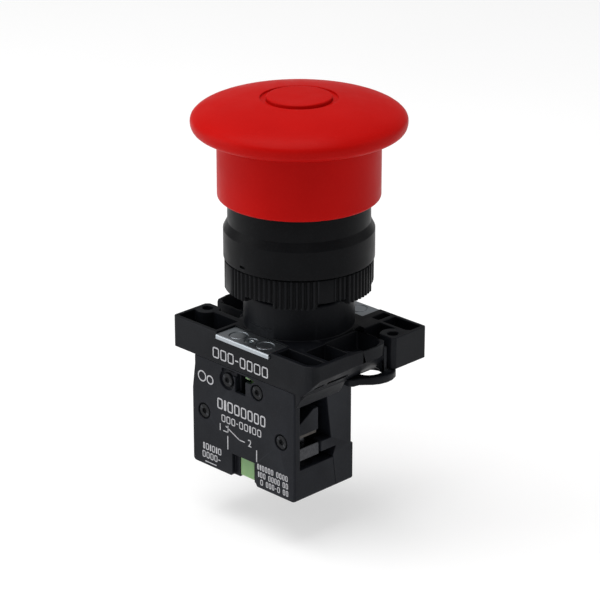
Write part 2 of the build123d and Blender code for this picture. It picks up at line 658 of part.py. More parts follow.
with BuildPart() as block_cover:
    with BuildSketch(Plane.XZ.offset(-BLOCK_BACK)):
        Polygon(*block_outline, align=None)
    extrude(amount=BLOCK_BACK - BLOCK_FRONT)
    fillet(
        block_cover.part.edges().filter_by(lambda e: e.center().Y > BLOCK_BACK - 0.01 and abs(e.center().X) > 13), 0.4,
    )
    split(bisect_by=parting.offset(0.06), keep=Keep.TOP)
    # step in the rear face
    with BuildSketch(Plane.XZ.offset(0.02)):
        with Locations((0, -25)):
            Rectangle(40, 18.6)
    extrude(amount=-3, mode=Mode.SUBTRACT)
    # hollow behind the works
    with BuildSketch(Plane.XZ.offset(1.1)):
        with Locations((0, -30.0)):
            Rectangle(12.2, 11.6)
    extrude(amount=9, mode=Mode.SUBTRACT)
    # tab beside each terminal, and the slanting end of the slot under it
    for side in (1, -1):
        with BuildSketch(Plane.YZ.offset(side * 11.6)):
            Polygon((-8.0, CLAMP_TOP), (-4.6, CLAMP_TOP), (-4.6, -33.4), (-8.0, -33.4), align=None)
        extrude(amount=side * (BLOCK_HX - 11.6))
        with BuildSketch(Plane.YZ.offset(side * 11.6)):
            Polygon((-6.0, -33.4), (-4.1, -33.4), (-5.05, -35.5), (-6.0, -35.5), align=None)
        extrude(amount=side * 4, mode=Mode.SUBTRACT)
block_cover.part.label = "block_cover"
export_step(block_cover.part, "parts/block_cover.step")

with BuildPart() as cover_pins:
    for x, zc, depth in ((-4.15, -22.4, 4.0), (3.85, -22.5, 4.0), (-10.5, -30.65, 0.8), (10.2, -30.5, 0.8)):
        with BuildSketch(Plane.XZ.offset(14.86)):
            with Locations((x, zc)):
                Circle(1.3)
        extrude(amount=-depth)
        with BuildSketch(Plane.XZ.offset(14.86)):
            with Locations((x, zc)):
                Circle(0.55)
        extrude(amount=-0.4, mode=Mode.SUBTRACT)
cover_pins.part.label = "cover_pins"
export_step(cover_pins.part, "parts/cover_pins.step")

# ---------------------------------------------------------------- plunger, bridge and contacts
PX0, PX1 = PLUNGER_X - 1.8, PLUNGER_X + 1.8
with BuildPart() as contact_plunger:
    with BuildSketch(Plane.XZ.offset(11.3)):
        Polygon((PX0, -15.78), (PX1, -15.78), (PX1, -34.5), (PX0, -34.5), align=None)
    extrude(amount=-4.3)
    # window for the bridge and its spring
    with BuildSketch(Plane.YZ.offset(-6)):
        Polygon((-10.55, -26.9), (-8.05, -26.9), (-8.05, -33.4), (-10.55, -33.4), align=None)
    extrude(amount=12, mode=Mode.SUBTRACT)
    # indicator leg, seen in the notch
    with BuildSketch(Plane.YZ.offset(PX0)):
        Polygon(
            (-14.0, -41.2), (-13.75, -41.45), (-11.75, -41.45), (-11.5, -41.2), (-11.5, -36.2),
            (-11.25, -34.0), (-11.25, -33.0), (-14.0, -35.2), align=None,
        )
    extrude(amount=3.6)
    # small flag, seen in the window
    with BuildSketch(Plane.XZ.offset(14.12)):
        Polygon((0.0, -20.25), (1.5, -20.3), (1.2, -21.05), (0.0, -21.05), align=None)
    extrude(amount=-3.0)
contact_plunger.part.label = "contact_plunger"
export_step(contact_plunger.part, "parts/contact_plunger.step")

with BuildPart() as contact_bridge:
    with BuildSketch(Plane.XZ.offset(10.4)):
        Polygon(
            (-5.7, -28.65), (-5.7, -27.85), (5.7, -27.85), (5.7, -28.65), (1.6, -28.65), (1.2, -28.95),
            (-1.2, -28.95), (-1.6, -28.65), align=None,
        )
    extrude(amount=-2.2)
    with BuildSketch(Plane.XY.offset(-27.86)):
        with Locations((-4.8, -9.3), (4.8, -9.3)):
            Circle(0.95)
    extrude(amount=0.5)
contact_bridge.part.label = "contact_bridge"
export_step(contact_bridge.part, "parts/contact_bridge.step")

for name, side in (("fixed_contact_left", -1), ("fixed_contact_right", 1)):
    with BuildPart() as fixed_contact:
        # strip from the contact tip out to the terminal, bent down past the shelf
        with BuildSketch(Plane.XZ.offset(10.6)):
            Polygon(
                *[(side * x, z) for x, z in (
                    (3.7, -26.8), (7.5, -26.8), (7.5, PAD_Z), (9.0, PAD_Z), (9.0, PAD_Z + 0.8), (8.3, PAD_Z + 0.8),
                    (8.3, -26.0), (3.7, -26.0),
                )],
                align=None,
            )
        extrude(amount=-2.6)
        with BuildSketch(Plane.XY.offset(-27.28)):
            with Locations((side * 4.8, -9.3)):
                Circle(0.95)
        extrude(amount=0.6)
        # terminal pad
        with BuildSketch(Plane.XY.offset(PAD_Z)):
            with Locations((side * 10.45, TERM_Y)):
                Rectangle(4.7, 5.0)
            with Locations((side * TERM_X, TERM_Y)):
                Circle(1.5, mode=Mode.SUBTRACT)
        extrude(amount=0.8)
    fixed_contact.part.label = name
    export_step(fixed_contact.part, "parts/" + name + ".step")

for name, side in (("terminal_clamp_left", -1), ("terminal_clamp_right", 1)):
    with BuildPart() as terminal_clamp:
        # plate with its outer edge folded down beside the screw's head
        with BuildSketch(Plane.XZ.offset(-TERM_Y + 2.5)):
            with BuildLine():
                Polyline(
                    (side * 7.9, CLAMP_TOP), (side * 13.0, CLAMP_TOP), (side * 13.35, CLAMP_TOP - 0.15),
                    (side * 13.5, CLAMP_TOP - 0.5), (side * 13.5, -33.8), (side * 12.8, -33.8),
                    (side * 12.8, CLAMP_TOP - CLAMP_T), (side * 7.9, CLAMP_TOP - CLAMP_T), (side * 7.9, CLAMP_TOP),
                )
            make_face()
        extrude(amount=-4.95)
        with BuildSketch(Plane.XY.offset(CLAMP_TOP - 2)):
            with Locations((side * TERM_X, TERM_Y)):
                Circle(1.5)
        extrude(amount=4, mode=Mode.SUBTRACT)
    terminal_clamp.part.label = name
    export_step(terminal_clamp.part, "parts/" + name + ".step")

for name, side in (("terminal_screw_left", -1), ("terminal_screw_right", 1)):
    with BuildPart() as terminal_screw:
        with BuildSketch(Plane.XY.offset(CLAMP_TOP - CLAMP_T - 1.5)):
            with Locations((side * TERM_X, TERM_Y)):
                Circle(2.3)
        extrude(amount=1.48)
        chamfer(terminal_screw.part.faces().sort_by(Axis.Z)[0].edges(), 0.3)
        with BuildSketch(Plane.XY.offset(CLAMP_TOP - CLAMP_T - 0.2)):
            with Locations((side * TERM_X, TERM_Y)):
                Circle(1.42)
        extrude(amount=4.7)
        # cross recess with one long slot
        with BuildSketch(Plane.XY.offset(CLAMP_TOP - CLAMP_T - 1.6)):
            with Locations((side * TERM_X, TERM_Y)):
                Rectangle(3.6, 0.75)
                Rectangle(0.75, 3.6)
        extrude(amount=1.0, mode=Mode.SUBTRACT)
        with BuildSketch(Plane.XY.offset(CLAMP_TOP - CLAMP_T - 1.6)):
            with Locations((side * TERM_X, TERM_Y)):
                Rectangle(5.0, 0.75)
        extrude(amount=0.8, mode=Mode.SUBTRACT)
    terminal_screw.part.label = name
    export_step(terminal_screw.part, "parts/" + name + ".step")

# springs under the bridge and under the plunger
with BuildPart() as bridge_spring:
    with BuildLine() as bridge_path:
        Helix(pitch=0.82, height=3.7, radius=0.85, center=(0.0, -9.3, -33.12))
    with BuildSketch(Plane(origin=bridge_path.wire() @ 0, z_dir=bridge_path.wire() % 0)):
        Circle(0.17)
    sweep(is_frenet=True)
bridge_spring.part.label = "bridge_spring"
export_step(bridge_spring.part, "parts/bridge_spring.step")

with BuildPart() as plunger_spring:
    with BuildLine() as plunger_path:
        Helix(pitch=1.0, height=5.3, radius=1.3, center=(PLUNGER_X, -9.2, -40.25))
    with BuildSketch(Plane(origin=plunger_path.wire() @ 0, z_dir=plunger_path.wire() % 0)):
        Circle(0.2)
    sweep(is_frenet=True)
plunger_spring.part.label = "plunger_spring"
export_step(plunger_spring.part, "parts/plunger_spring.step")
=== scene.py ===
import bpy, bmesh, math
from mathutils import Vector, Matrix


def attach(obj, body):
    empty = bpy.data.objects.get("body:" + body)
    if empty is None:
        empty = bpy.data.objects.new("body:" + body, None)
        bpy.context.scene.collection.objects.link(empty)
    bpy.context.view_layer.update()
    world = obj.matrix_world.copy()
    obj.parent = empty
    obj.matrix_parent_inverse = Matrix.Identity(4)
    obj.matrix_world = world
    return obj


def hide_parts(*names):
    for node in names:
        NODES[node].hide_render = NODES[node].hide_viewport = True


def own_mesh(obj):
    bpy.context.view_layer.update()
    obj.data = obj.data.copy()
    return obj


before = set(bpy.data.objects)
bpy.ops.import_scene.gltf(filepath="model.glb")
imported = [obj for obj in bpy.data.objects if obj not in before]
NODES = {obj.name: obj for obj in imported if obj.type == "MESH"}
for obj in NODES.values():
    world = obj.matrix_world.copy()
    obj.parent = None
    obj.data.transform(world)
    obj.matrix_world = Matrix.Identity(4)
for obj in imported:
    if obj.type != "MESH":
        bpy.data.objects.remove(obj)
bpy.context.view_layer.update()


MM = 0.001
SC = bpy.context.scene
COLL = SC.collection

# =====================================================================================
# camera: the photograph's angle
# =====================================================================================
AZ, EL, DIST, LENS = 45.05, 21.9, 0.5007, 160.2
TARGET = Vector((0.00022, 0.0, -0.00923))


def direction(az, el):
    a, e = math.radians(az), math.radians(el)
    return Vector((math.sin(a) * math.cos(e), -math.cos(a) * math.cos(e), math.sin(e)))


cam_data = bpy.data.cameras.new("camera")
cam_data.lens = LENS
cam_data.sensor_width = 36.0
cam_data.clip_start = 0.01
cam_data.clip_end = 20.0
cam = bpy.data.objects.new("camera", cam_data)
COLL.objects.link(cam)
cam.location = TARGET + direction(AZ, EL) * DIST
cam.rotation_euler = (TARGET - cam.location).to_track_quat("-Z", "Y").to_euler()
SC.camera = cam
SC.view_settings.view_transform = "Standard"
SC.view_settings.look = "None"
SC.view_settings.exposure = 0.0

# =====================================================================================
# materials
# =====================================================================================


class Mat:
    """A principled material with a few helpers for its node tree."""

    def __init__(self, name):
        self.m = bpy.data.materials.new(name)
        self.m.use_nodes = True
        self.t = self.m.node_tree
        self.t.nodes.clear()
        self.out = self.t.nodes.new("ShaderNodeOutputMaterial")
        self.b = self.t.nodes.new("ShaderNodeBsdfPrincipled")
        self.t.links.new(self.b.outputs[0], self.out.inputs[0])
        self.co = self.t.nodes.new("ShaderNodeTexCoord").outputs["Object"]

    def n(self, kind, **kw):
        node = self.t.nodes.new(kind)
        for k, v in kw.items():
            setattr(node, k, v)
        return node

    def link(self, a, b):
        self.t.links.new(a, b)

    def noise(self, scale, detail=3.0, rough=0.5, stretch=None, w=0.0):
        node = self.n("ShaderNodeTexNoise", noise_dimensions="3D")
        node.inputs["Scale"].default_value = scale
        node.inputs["Detail"].default_value = detail
        node.inputs["Roughness"].default_value = rough
        if stretch or w:
            mp = self.n("ShaderNodeMapping")
            if stretch:
                mp.inputs["Scale"].default_value = stretch
            mp.inputs["Location"].default_value = (w, w * 0.7, w * 1.3)
            self.link(self.co, mp.inputs["Vector"])
            self.link(mp.outputs[0], node.inputs["Vector"])
        else:
            self.link(self.co, node.inputs["Vector"])
        return node.outputs["Fac"]

    def ramp(self, fac, stops):
        node = self.n("ShaderNodeValToRGB")
        el = node.color_ramp.elements
        while len(el) < len(stops):
            el.new(0.5)
        for e, (p, c) in zip(el, stops):
            e.position = p
            e.color = (*c, 1.0) if len(c) == 3 else c
        self.link(fac, node.inputs["Fac"])
        return node.outputs["Color"]

    def span(self, fac, lo, hi, a=0.3, b=0.7):
        node = self.n("ShaderNodeMapRange")
        node.inputs["From Min"].default_value = a
        node.inputs["From Max"].default_value = b
        node.inputs["To Min"].default_value = lo
        node.inputs["To Max"].default_value = hi
        self.link(fac, node.inputs["Value"])
        return node.outputs["Result"]

    def mix(self, fac, a, b, kind="MIX"):
        node = self.n("ShaderNodeMix", data_type="RGBA", blend_type=kind)
        for sock, v in ((node.inputs[0], fac), (node.inputs[6], a), (node.inputs[7], b)):
            if isinstance(v, (int, float)):
                sock.default_value = v
            elif isinstance(v, tuple):
                sock.default_value = (*v, 1.0)
            else:
                self.link(v, sock)
        return node.outputs[2]

    def math(self, op, a, b=None, clamp=False):
        node = self.n("ShaderNodeMath", operation=op, use_clamp=clamp)
        for sock, v in zip(node.inputs, (a, b)):
            if v is None:
                continue
            if isinstance(v, (int, float)):
                sock.default_value = v
            else:
                self.link(v, sock)
        return node.outputs[0]

    def edge_highlight_and_wear(self, lo=0.53, hi=0.60):
        """1 on convex edges, from the mesh's own curvature: used to paint a highlight into edge colours, and to lower
        roughness there for wear.
        """
        geo = self.n("ShaderNodeNewGeometry")
        return self.span(geo.outputs["Pointiness"], 0.0, 1.0, lo, hi)

    def bump(self, *layers):
        """layers: (height, strength, distance in metres)."""
        prev = None
        for h, s, d in layers:
            node = self.n("ShaderNodeBump")
            node.inputs["Strength"].default_value = s
            node.inputs["Distance"].default_value = d
            self.link(h, node.inputs["Height"])
            if prev is not None:
                self.link(prev, node.inputs["Normal"])
            prev = node.outputs["Normal"]
        self.link(prev, self.b.inputs["Normal"])

    def color(self, c):
        self.link(c, self.b.inputs["Base Color"])

    def rough(self, r):
        self.link(r, self.b.inputs["Roughness"])

    def set(self, **kw):
        for k, v in kw.items():
            self.b.inputs[k.replace("_", " ")].default_value = v


def moulded(name, dark, light, edge, r0, r1, grain=7000.0, grain_s=0.22, wave_s=0.10, spec=0.5):
    """Spark-eroded moulded plastic: fine grain, faint flow waves, a painted highlight that lightens the edges, which
    are also a little glossier from wear.
    """
    k = Mat(name)
    flow = k.noise(140.0, 4.0, 0.55)
    speck = k.noise(2600.0, 2.0, 0.6, w=3.1)
    base = k.ramp(flow, [(0.30, dark), (0.72, light)])
    base = k.mix(k.span(speck, 0.0, 0.35, 0.52, 0.70), base, tuple(min(1.0, v * 1.5 + 0.002) for v in light))
    # painted highlight: convex edges mixed towards the lighter edge colour
    base = k.mix(k.math("MULTIPLY", k.edge_highlight_and_wear(), 0.55), base, edge)
    k.color(base)
    smear = k.noise(420.0, 3.0, 0.6, w=1.7)
    k.rough(k.math("SUBTRACT", k.span(smear, r0, r1), k.math("MULTIPLY", k.edge_highlight_and_wear(), 0.07), clamp=True))
    k.bump(
        (k.noise(grain, 2.0, 0.55), grain_s, 0.00003),
        (k.noise(330.0, 2.0, 0.5, w=0.9), wave_s, 0.00006),
    )
    k.set(Specular_IOR_Level=spec)
    return k.m


def metal(name, lo, hi, tint, r0, r1, brush=None, spots=0.25, relief=0.12):
    """Plated or drawn metal: crystal mottle, fine scratches along one way, a trace of tint."""
    k = Mat(name)
    mott = k.noise(1500.0, 4.0, 0.65)
    cloud = k.noise(260.0, 3.0, 0.5, w=2.2)
    scr = k.noise(1200.0, 3.0, 0.6, stretch=brush or (1.0, 14.0, 14.0), w=0.6)
    base = k.ramp(mott, [(0.28, lo), (0.70, hi)])
    base = k.mix(k.span(cloud, 0.0, spots, 0.45, 0.68), base, tint)
    k.color(base)
    k.rough(k.math("ADD", k.span(mott, r0, r1), k.span(scr, -0.04, 0.07)))
    k.bump((scr, relief, 0.00002), (mott, relief, 0.00002))
    k.set(Metallic=1.0)
    return k.m


def red_plastic():
    k = Mat("red_moulding")
    flow = k.noise(60.0, 3.0, 0.5)
    speck = k.noise(3000.0, 2.0, 0.6, w=1.2)
    base = k.ramp(flow, [(0.28, (0.420, 0.0026, 0.0018)), (0.74, (0.480, 0.0042, 0.0030))])
    base = k.mix(k.span(speck, 0.0, 0.25, 0.50, 0.72), base, (0.54, 0.009, 0.007))
    # painted highlight: convex edges mixed towards a lighter, pinker red
    base = k.mix(k.math("MULTIPLY", k.edge_highlight_and_wear(0.53, 0.62), 0.16), base, (0.64, 0.040, 0.034))
    k.color(base)
    smear = k.noise(210.0, 4.0, 0.6, w=2.4)
    k.rough(k.span(smear, 0.36, 0.47))
    k.bump(
        (k.noise(5200.0, 2.0, 0.5), 0.16, 0.00003),
        (k.noise(180.0, 2.0, 0.5, w=0.4), 0.08, 0.00008),
    )
    k.set(Specular_IOR_Level=0.045, Subsurface_Weight=0.03, Subsurface_Scale=0.0010)
    k.b.inputs["Subsurface Radius"].default_value = (1.0, 0.12, 0.08)
    return k.m


def green_plastic():
    k = Mat("green_moulding")
    flow = k.noise(300.0, 3.0, 0.5)
    base = k.ramp(flow, [(0.3, (0.082, 0.205, 0.060)), (0.72, (0.120, 0.262, 0.085))])
    # painted highlight: convex edges mixed towards a much lighter green
    base = k.mix(k.math("MULTIPLY", k.edge_highlight_and_wear(), 0.5), base, (0.40, 0.58, 0.30))
    k.color(base)
    k.rough(k.span(k.noise(700.0, 3.0, 0.6), 0.34, 0.50))
    k.bump((k.noise(6000.0, 2.0, 0.5), 0.15, 0.00003))
    k.set(Subsurface_Weight=0.12, Subsurface_Scale=0.0008)
    return k.m


def ink():
    k = Mat("white_ink")
    base = k.ramp(k.noise(2500.0, 3.0, 0.6), [(0.25, (0.34, 0.34, 0.36)), (0.65, (0.50, 0.50, 0.52))])
    k.color(base)
    k.rough(k.span(k.noise(1800.0, 2.0, 0.5, w=1.0), 0.45, 0.62))
    k.bump((k.noise(7000.0, 2.0, 0.5), 0.2, 0.00001))
    return k.m


M_RED = red_plastic()
# the fourth colour given to each moulding is its painted edge highlight
M_BLACK = moulded("black_moulding", (0.0040, 0.0046, 0.0062), (0.0070, 0.0078, 0.0100), (0.026, 0.028, 0.032), 0.36, 0.48, spec=0.085)
M_COLLAR = moulded("black_collar", (0.0036, 0.0038, 0.0044), (0.0058, 0.0061, 0.0070), (0.022, 0.023, 0.026), 0.33, 0.43, grain=9000.0, grain_s=0.14, wave_s=0.07, spec=0.055)
M_CASE = moulded("black_case_moulding", (0.0062, 0.0070, 0.0096), (0.0100, 0.0112, 0.0150), (0.034, 0.037, 0.044), 0.38, 0.52, grain=6500.0, grain_s=0.26, spec=0.09)
M_PIN = moulded("black_pin_moulding", (0.0034, 0.0037, 0.0046), (0.0066, 0.0071, 0.0088), (0.052, 0.055, 0.062), 0.24, 0.36, grain=5000.0, grain_s=0.18, spec=0.12)
M_GREEN = green_plastic()
M_INK = ink()
M_ZINC = metal("zinc_plate", (0.345, 0.372, 0.40), (0.41, 0.437, 0.465), (0.32, 0.385, 0.42), 0.28, 0.36, spots=0.3, relief=0.035)
# painted shade: zinc of the terminal clamps and screws darkened far below M_ZINC for the shade in the side recesses
M_TERMINAL_SHADED = metal("terminal_zinc_painted_shade", (0.036, 0.037, 0.040), (0.060, 0.061, 0.066), (0.044, 0.046, 0.052), 0.20, 0.30, spots=0.3, relief=0.03)
# painted shade: tinned contact strips darkened far below bright tin for the shade inside the block
M_TINNED_SHADED = metal("tinned_contact_painted_shade", (0.046, 0.043, 0.040), (0.080, 0.076, 0.072), (0.070, 0.058, 0.050), 0.30, 0.44, spots=0.3, relief=0.06)
M_SCREW = metal("screw_steel", (0.42, 0.47, 0.50), (0.66, 0.70, 0.72), (0.36, 0.46, 0.50), 0.22, 0.36, brush=(9.0, 9.0, 1.0))
M_SPRING = metal("spring_wire", (0.40, 0.40, 0.41), (0.62, 0.62, 0.63), (0.46, 0.43, 0.40), 0.22, 0.38, brush=(6.0, 6.0, 1.0))
M_COPPER = metal("contact_alloy", (0.62, 0.36, 0.20), (0.84, 0.54, 0.33), (0.72, 0.52, 0.40), 0.24, 0.40)
# the fourth colour here is a painted edge highlight too
M_RUBBER = moulded("black_rubber", (0.012, 0.012, 0.012), (0.020, 0.020, 0.021), (0.040, 0.040, 0.040), 0.62, 0.78, grain=4200.0, grain_s=0.3, spec=0.35)

# =====================================================================================
# mesh helpers (millimetres in, metres out)
# =====================================================================================


def finish_mesh(name, bm, mat, body, node=None, smooth=35.0, weld=2e-7):
    bmesh.ops.remove_doubles(bm, verts=bm.verts, dist=weld)
    bmesh.ops.dissolve_degenerate(bm, edges=bm.edges, dist=1e-8)
    bmesh.ops.recalc_face_normals(bm, faces=bm.faces)
    me = bpy.data.meshes.new(name)
    bm.to_mesh(me)
    bm.free()
    return place(name, me, mat, body, node, smooth)


def place(name, me, mat, body, node=None, smooth=35.0):
    ob = bpy.data.objects.new(name, me)
    COLL.objects.link(ob)
    me.materials.clear()
    me.materials.append(mat)
    for p in me.polygons:
        p.use_smooth = True
    try:
        me.set_sharp_from_angle(angle=math.radians(smooth))
    except AttributeError:
        pass
    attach(ob, body)
    if node:
        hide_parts(*([node] if isinstance(node, str) else node))
    return ob


def rounded(points, radii, steps=4):
    """Closed (r, z) profile with a rounded corner of the given radius at each point."""
    out = []
    n = len(points)
    for i in range(n):
        p = Vector(points[i])
        r = radii[i] if isinstance(radii, (list, tuple)) else radii
        a, b = Vector(points[i - 1]), Vector(points[(i + 1) % n])
        if r <= 0:
            out.append(tuple(p))
            continue
        u, v = (a - p), (b - p)
        lu, lv = u.length, v.length
        if lu < 1e-6 or lv < 1e-6:
            out.append(tuple(p))
            continue
        u.normalize(); v.normalize()
        ang = math.acos(max(-1.0, min(1.0, u.dot(v))))
        if ang > math.radians(172):
            out.append(tuple(p))
            continue
        t = min(r / math.tan(ang / 2), 0.45 * lu, 0.45 * lv)
        rr = t * math.tan(ang / 2)
        c = p + (u + v).normalized() * (rr / math.sin(ang / 2))
        s, e = p + u * t - c, p + v * t - c
        sweep = s.angle(e)
        turn = 1 if s.x * e.y - s.y * e.x > 0 else -1
        for k in range(steps + 1):
            q = sweep * k / steps * turn
            out.append((c.x + s.x * math.cos(q) - s.y * math.sin(q), c.y + s.x * math.sin(q) + s.y * math.cos(q)))
    return out


def cut_boxes(bm, boxes):
    """Cut plain boxes (corners in mm) out of a closed shell."""
    def temp(name, source):
        me = bpy.data.meshes.new(name)
        source.to_mesh(me)
        source.free()
        ob = bpy.data.objects.new(name, me)
        bpy.context.scene.collection.objects.link(ob)
        return ob

    bmesh.ops.recalc_face_normals(bm, faces=bm.faces[:])
    body = temp("cut_body", bm)
    knives = []
    for n, (lo, hi) in enumerate(boxes):
        kb = bmesh.new()
        bmesh.ops.create_cube(kb, size=1.0)
        for v in kb.verts:
            v.co = Vector([((lo[i] + hi[i]) / 2 + v.co[i] * (hi[i] - lo[i])) * MM for i in range(3)])
        knife = temp("cut_knife_%d" % n, kb)
        m = body.modifiers.new("cut_%d" % n, "BOOLEAN")
        m.operation = "DIFFERENCE"
        m.solver = "EXACT"
        m.object = knife
        knives.append(knife)
    bpy.context.view_layer.update()
    out = bmesh.new()
    out.from_object(body, bpy.context.evaluated_depsgraph_get())
    for ob in [body] + knives:
        me = ob.data
        bpy.data.objects.remove(ob, do_unlink=True)
        bpy.data.meshes.remove(me)
    print("cut shell:", len(out.verts), "verts,", len(out.faces), "faces,",
          sum(1 for e in out.edges if len(e.link_faces) != 2), "open edges")
    return out


def lathe_bm(rows, cols, closed=True, bump=None):
    """rows: (r, z) in mm or a function of the angle that gives one; cols: list of angles in degrees."""
    bm = bmesh.new()
    grid = []
    for a in cols:
        ca, sa = math.cos(math.radians(a)), math.sin(math.radians(a))
        line = []
        for row in rows:
            r, z = row(a) if callable(row) else row
            line.append(bm.verts.new((r * ca * MM, r * sa * MM, z * MM)))
        grid.append(line)
    nc, nr = len(cols), len(rows)
    for i in range(nc):
        j = (i + 1) % nc
        for k in range(nr if closed else nr - 1):
            m = (k + 1) % nr
            try:
                bm.faces.new((grid[i][k], grid[j][k], grid[j][m], grid[i][m]))
            except ValueError:
                pass
    return bm


def even(n, extra=()):
    return sorted(set([round(360.0 * i / n, 5) for i in range(n)] + [round(e % 360.0, 5) for e in extra]))


def cad_bm(node, flat=0.6):
    """The CAD solid as clean polygons: welded, with its coplanar triangles joined."""
    bm = bmesh.new()
    bm.from_mesh(NODES[node].data)
    for layer in list(bm.loops.layers.uv):
        bm.loops.layers.uv.remove(layer)
    bmesh.ops.remove_doubles(bm, verts=bm.verts, dist=2e-6)
    bmesh.ops.dissolve_degenerate(bm, edges=bm.edges, dist=1e-7)
    bmesh.ops.dissolve_limit(
        bm, angle_limit=math.radians(flat), use_dissolve_boundaries=False, verts=bm.verts, edges=bm.edges, delimit=set()
    )
    bmesh.ops.triangulate(bm, faces=[f for f in bm.faces if len(f.verts) > 4], quad_method="BEAUTY", ngon_method="BEAUTY")
    return bm


def dressed(node, name, mat, body, width=0.12, angle=32.0, segs=2, flat=0.6, smooth=35.0):
    """A CAD solid's shape with rounded edges, in the node's place."""
    bm = cad_bm(node, flat)
    me = bpy.data.meshes.new(name)
    bm.to_mesh(me)
    bm.free()
    for at in list(me.attributes):
        if at.name in ("custom_normal",):
            me.attributes.remove(at)
    ob = place(name, me, mat, body, node, smooth)
    bev = ob.modifiers.new("edges", "BEVEL")
    bev.limit_method = "ANGLE"
    bev.angle_limit = math.radians(angle)
    bev.width = width * MM
    bev.segments = segs
    bev.profile = 0.5
    bev.use_clamp_overlap = False
    bev.miter_outer = "MITER_ARC"
    level = ob.modifiers.new("normals", "WEIGHTED_NORMAL")
    level.mode = "FACE_AREA"
    level.weight = 80
    level.keep_sharp = True
    bev.loop_slide = False
    return ob


# =====================================================================================
# mushroom head, disc
# =====================================================================================
DOME = [
    (7.8925, 30.424), (8.8777, 30.3138), (9.8624, 30.1998), (10.8458, 30.0747), (11.8267, 29.9313), (12.8039, 29.7644),
    (13.7761, 29.5709), (14.7425, 29.3499), (15.7023, 29.1023), (16.1798, 28.969), (16.655, 28.8284), (17.127, 28.6769),
    (17.5939, 28.5107), (18.0534, 28.3249), (18.5015, 28.1133), (18.9314, 27.8669), (19.3303, 27.5732),
    (19.673, 27.2165), (19.83, 27.01), (19.9141, 26.7856), (19.978, 26.55), (20.0, 26.3), (19.9878, 25.9999),
    (19.9469, 25.7025), (19.8692, 25.4126), (19.7458, 25.1392), (19.5703, 24.8961), (19.345, 24.6984),
    (19.0818, 24.5548), (18.7962, 24.4629), (18.4999, 24.4144), (18.2, 24.4),
]


def arc(cx, cz, r, a0, a1, n):
    return [
        (cx + r * math.cos(math.radians(a0 + (a1 - a0) * k / n)), cz + r * math.sin(math.radians(a0 + (a1 - a0) * k / n)))
        for k in range(n + 1)
    ]


cap_rows = (
    [(6.08, 28.0), (6.08, 30.02)]
    + arc(6.16, 30.02, 0.08, 180, 90, 3)                # floor of the trench
    + [(7.14, 30.10)]
    + arc(7.14, 30.18, 0.08, -90, 0, 3)
    + arc(7.30, 30.40, 0.08, 170, 84, 4)                # crisp outer edge of the trench
    + DOME
    + [(17.4, 24.40), (16.3, 24.44), (15.75, 24.46), (15.45, 24.40), (15.28, 24.26), (15.2, 24.02), (15.2, 23.6), (15.2, 18.0), (15.2, 12.3)]
    + arc(14.70, 12.20, 0.50, 0, -90, 6)
    + [(14.2, 11.70)]
    + arc(14.0, 11.95, 0.25, -90, -180, 4)
    + [(13.75, 12.6), (13.75, 24.9), (13.65, 25.0), (12.6, 25.0), (12.6, 27.3), (12.5, 27.4), (9.1, 27.4), (9.0, 27.3), (9.0, 25.0),
       (1.65, 25.0), (1.6, 25.05), (1.6, 26.4), (4.6, 26.4), (4.6, 28.0)]
)
bm = lathe_bm(cap_rows, even(288))
cap = finish_mesh("head_cap", bm, M_RED, "actuator", "mushroom_head", smooth=40)

disc_rows = (
    [(0.0, 28.0), (5.95, 28.0), (6.05, 28.1), (6.05, 30.55)]
    + arc(5.77, 30.56, 0.28, 0, 88, 6)
    + [(5.2, 30.855), (4.4, 30.875), (3.2, 30.893), (1.8, 30.90), (0.6, 30.903), (0.0, 30.903)]
)
bm = lathe_bm(disc_rows, even(192), closed=False)
disc = finish_mesh("head_centre_disc", bm, M_RED, "actuator", "head_disc", smooth=40)

# =====================================================================================
# bezel: collar, cup, threaded neck and plug in one moulding
# =====================================================================================
PITCH = 1.5


def thread(z):
    def at(a):
        phase = ((-z) / PITCH - a / 360.0) % 1.0
        d = abs(phase - 0.5) * 2.0                       # 0 in the root, 1 on the crest
        t = max(0.0, min(1.0, (d - 0.18) / 0.50))
        t = t * t * (3 - 2 * t)
        fade = max(0.0, min(1.0, (-z - 1.15) / 0.35)) * max(0.0, min(1.0, (z + 6.2) / 0.25))
        r = 10.62 + 0.38 * t
        return (r * fade + (11.0 if z > -3 else 10.62) * (1 - fade), z)
    return at


outer = rounded(
    [(11.7, 20.0), (13.35, 20.0), (13.35, 7.1), (14.15, 5.5), (14.15, 0.0), (13.2, 0.0), (13.2, 0.85), (11.5, 0.85), (11.5, 0.0), (11.0, 0.0)],
    [0.25, 0.4, 0.35, 0.28, 0.13, 0.08, 0.05, 0.05, 0.08, 0.0],
    steps=5,
)
# rows on the collar around the index notch
NOTCH_Z = (0.70, 0.76, 1.14, 1.20)
NOTCH_A0, NOTCH_A1 = -95.07, -89.80


def notch_row(z, deep):
    def at(a):
        d = (a + 180.0) % 360.0 - 180.0
        inside = NOTCH_A0 <= d <= NOTCH_A1
        return (14.15 - (0.38 if inside and deep else 0.0), z)
    return at


